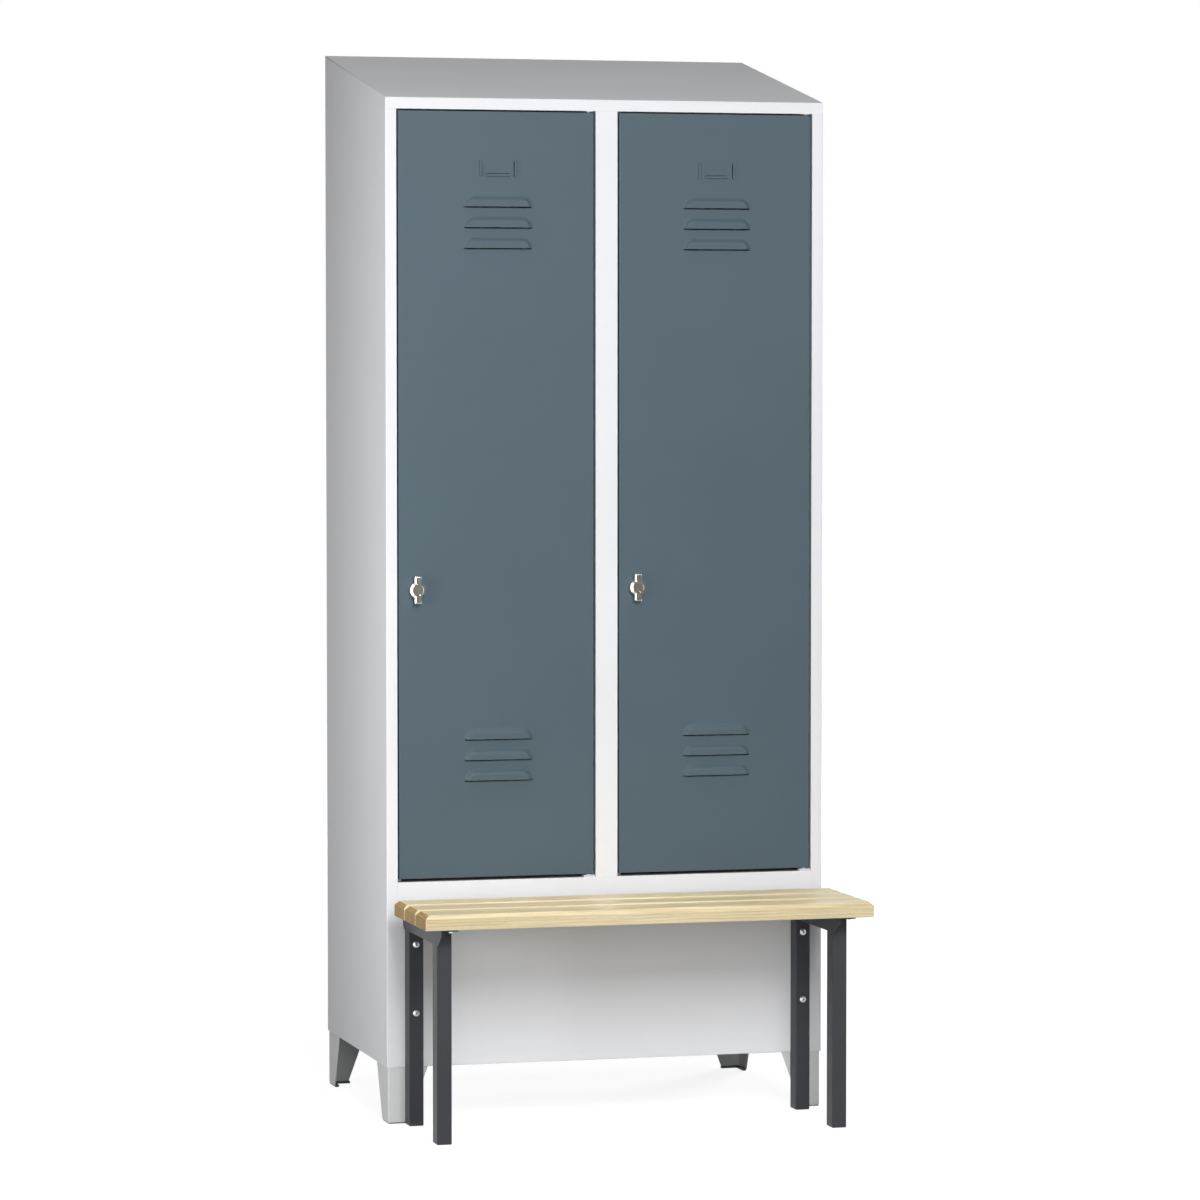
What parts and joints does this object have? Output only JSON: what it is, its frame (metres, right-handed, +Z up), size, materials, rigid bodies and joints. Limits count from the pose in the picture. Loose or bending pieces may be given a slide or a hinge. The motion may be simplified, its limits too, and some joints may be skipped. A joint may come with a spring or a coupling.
{
  "type": "clothes locker with bench",
  "caption": "Tall sheet-steel clothes locker with louvred doors, turn latches, a sloping roof and pressed feet, and a slatted wooden bench on a steel tube frame bolted to its front.",
  "frame": {"origin": "on the floor, at the centre of the footprint of locker and bench together", "axes": "+Z up, the bench and the doors' faces towards -Y, +X to the right as seen from the bench"},
  "size_m": [0.8, 0.8, 1.9],
  "materials": {
    "body": "light grey powder coat, fine satin",
    "inside": "light grey powder coat, fine satin",
    "door": "blue-grey powder coat, fine satin",
    "bench": "dark grey powder coat, satin",
    "wood": "pale hardwood, clear satin lacquer",
    "nickel": "nickel plate, bright",
    "zinc": "zinc plate, dull",
    "glide": "black plastic, matt",
    "pale_plastic": "light grey plastic, matt",
    "rubber": "black rubber"
  },
  "bodies": {
    "locker": {"side_panel_left": "body", "side_panel_right": "body", "back_panel": "body", "roof_panel": "body", "centre_post": "body", "plinth_panel": "body", "foot_front_left": "body", "foot_front_right": "body", "foot_rear_left": "body", "foot_rear_right": "body", "partition": "inside", "floor_pan": "inside", "hat_shelf_left": "inside", "hat_shelf_right": "inside", "foot_glides": "glide", "leg_cap_front_left": "glide", "leg_cap_front_right": "glide", "leg_cap_rear_left": "glide", "leg_cap_rear_right": "glide", "door_buffers": "rubber", "rail_sockets": "pale_plastic", "hinge_bushes_lower": "pale_plastic", "hinge_bushes_upper": "pale_plastic", "coat_rail_left": "zinc", "coat_rail_right": "zinc", "slat_screws": "zinc", "leg_bolts": "zinc", "leg_bolt_nuts": "zinc", "bench_leg_front_left": "bench", "bench_leg_front_right": "bench", "bench_leg_rear_left": "bench", "bench_leg_rear_right": "bench", "seat_bracket_left": "bench", "seat_bracket_right": "bench", "seat_slat_front": "wood", "seat_slat_middle": "wood", "seat_slat_rear": "wood"},
    "door_left": {"door_left": "door", "door_stiffener_left": "door", "hinge_pins_left": "zinc", "latch_base_left": "nickel", "latch_locknut_left": "zinc"},
    "latch_left": {"latch_handle_left": "nickel", "latch_cam_left": "zinc", "cam_screw_left": "zinc"},
    "door_right": {"door_right": "door", "door_stiffener_right": "door", "hinge_pins_right": "zinc", "latch_base_right": "nickel", "latch_locknut_right": "zinc"},
    "latch_right": {"latch_handle_right": "nickel", "latch_cam_right": "zinc", "cam_screw_right": "zinc"},
    "hook_left_1": {"hook_left_1": "glide"},
    "hook_left_2": {"hook_left_2": "glide"},
    "hook_left_3": {"hook_left_3": "glide"},
    "hook_right_1": {"hook_right_1": "glide"},
    "hook_right_2": {"hook_right_2": "glide"},
    "hook_right_3": {"hook_right_3": "glide"}
  },
  "joints": [
    {"name": "door_left_hinge", "type": "hinge", "parent": "locker", "child": "door_left", "pos_m": [-0.0313, -0.0925, 1.1], "axis": [0, 0, 1], "range_deg": [0, 105]},
    {"name": "latch_left_turn", "type": "hinge", "parent": "door_left", "child": "latch_left", "pos_m": [-0.345, -0.1, 0.94], "axis": [0, 1, 0], "range_deg": [0, 90]},
    {"name": "hook_left_1_slide", "type": "slide", "parent": "locker", "child": "hook_left_1", "axis": [1, 0, 0], "range_m": [-0.04, 0.04]},
    {"name": "hook_left_2_slide", "type": "slide", "parent": "locker", "child": "hook_left_2", "axis": [1, 0, 0], "range_m": [-0.04, 0.04]},
    {"name": "hook_left_3_slide", "type": "slide", "parent": "locker", "child": "hook_left_3", "axis": [1, 0, 0], "range_m": [-0.04, 0.04]},
    {"name": "door_right_hinge", "type": "hinge", "parent": "locker", "child": "door_right", "pos_m": [0.3687, -0.0925, 1.1], "axis": [0, 0, 1], "range_deg": [0, 105]},
    {"name": "latch_right_turn", "type": "hinge", "parent": "door_right", "child": "latch_right", "pos_m": [0.055, -0.1, 0.94], "axis": [0, 1, 0], "range_deg": [0, 90]},
    {"name": "hook_right_1_slide", "type": "slide", "parent": "locker", "child": "hook_right_1", "axis": [1, 0, 0], "range_m": [-0.04, 0.04]},
    {"name": "hook_right_2_slide", "type": "slide", "parent": "locker", "child": "hook_right_2", "axis": [1, 0, 0], "range_m": [-0.04, 0.04]},
    {"name": "hook_right_3_slide", "type": "slide", "parent": "locker", "child": "hook_right_3", "axis": [1, 0, 0], "range_m": [-0.04, 0.04]}
  ]
}
